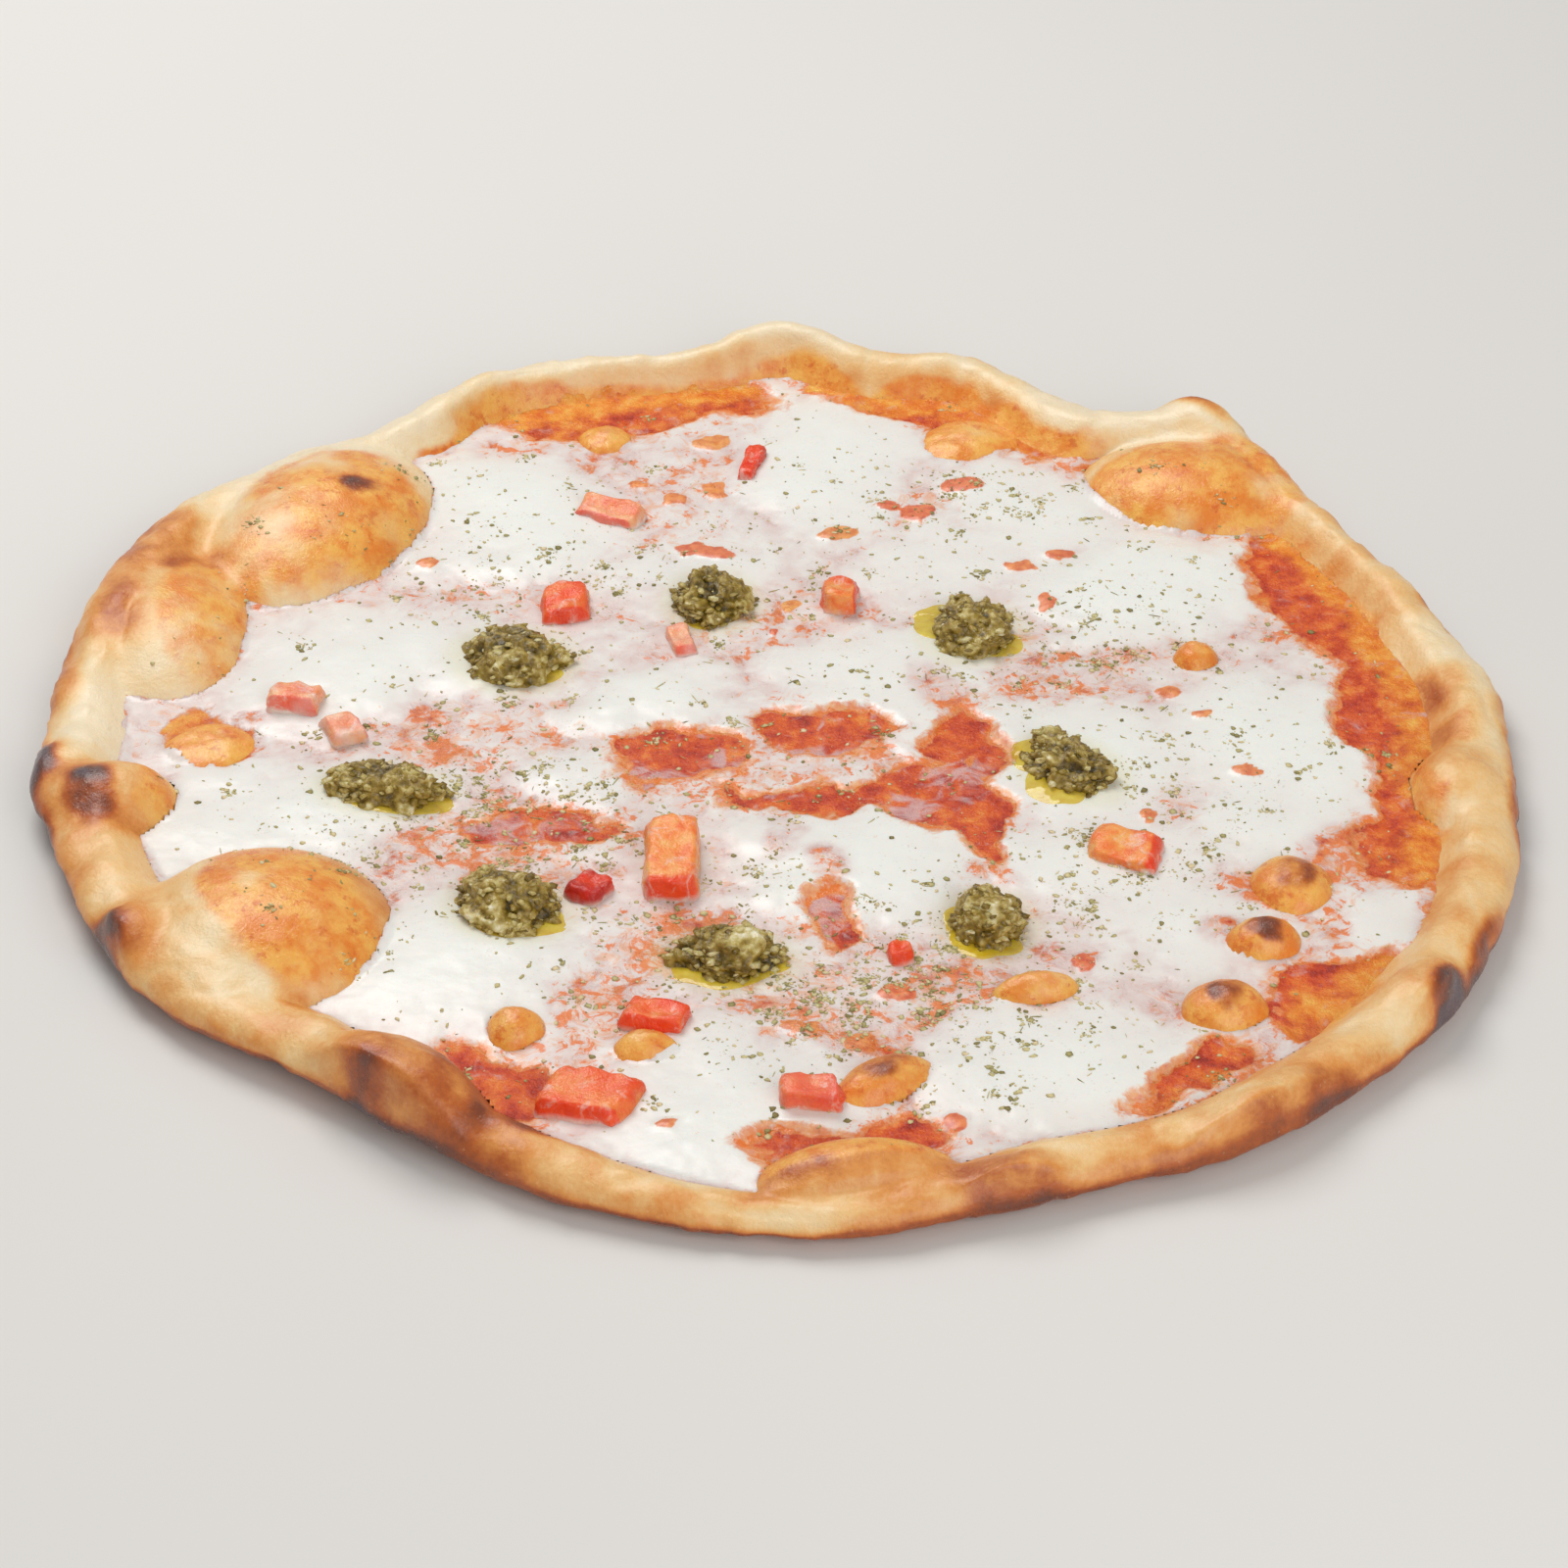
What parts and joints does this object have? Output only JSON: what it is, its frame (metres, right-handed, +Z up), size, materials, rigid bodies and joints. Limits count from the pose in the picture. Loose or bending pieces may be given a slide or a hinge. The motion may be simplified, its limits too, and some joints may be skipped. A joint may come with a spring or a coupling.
{
  "type": "pizza",
  "caption": "Whole round margherita pizza with a puffed, blistered rim, tomato sauce, melted mozzarella, pesto, diced tomato and dried herbs.",
  "frame": {"origin": "on the surface that the pizza lies on, under the middle of the crust's bounding box", "axes": "+Z up, +X towards the right-hand side, -Y towards the eater and the camera of the picture"},
  "size_m": [0.3276, 0.3351, 0.0205],
  "materials": {
    "crust": "baked dough, satin with a faint sheen of oil",
    "sauce": "cooked tomato sauce, wet",
    "cheese": "melted mozzarella, smooth and moist, with dried herbs on it",
    "pesto": "coarse basil pesto, oily",
    "tomato": "cut tomato, moist"
  },
  "bodies": {
    "root": {"crust": "crust", "sauce": "sauce", "cheese": "cheese", "pesto_1": "pesto", "pesto_2": "pesto", "pesto_3": "pesto", "pesto_4": "pesto", "pesto_5": "pesto", "pesto_6": "pesto", "pesto_7": "pesto", "pesto_8": "pesto", "tomato_1": "tomato", "tomato_2": "tomato", "tomato_3": "tomato", "tomato_4": "tomato", "tomato_5": "tomato", "tomato_6": "tomato", "tomato_7": "tomato", "tomato_8": "tomato", "tomato_9": "tomato", "tomato_10": "tomato", "tomato_11": "tomato", "tomato_12": "tomato", "tomato_13": "tomato", "tomato_14": "tomato"}
  },
  "joints": []
}
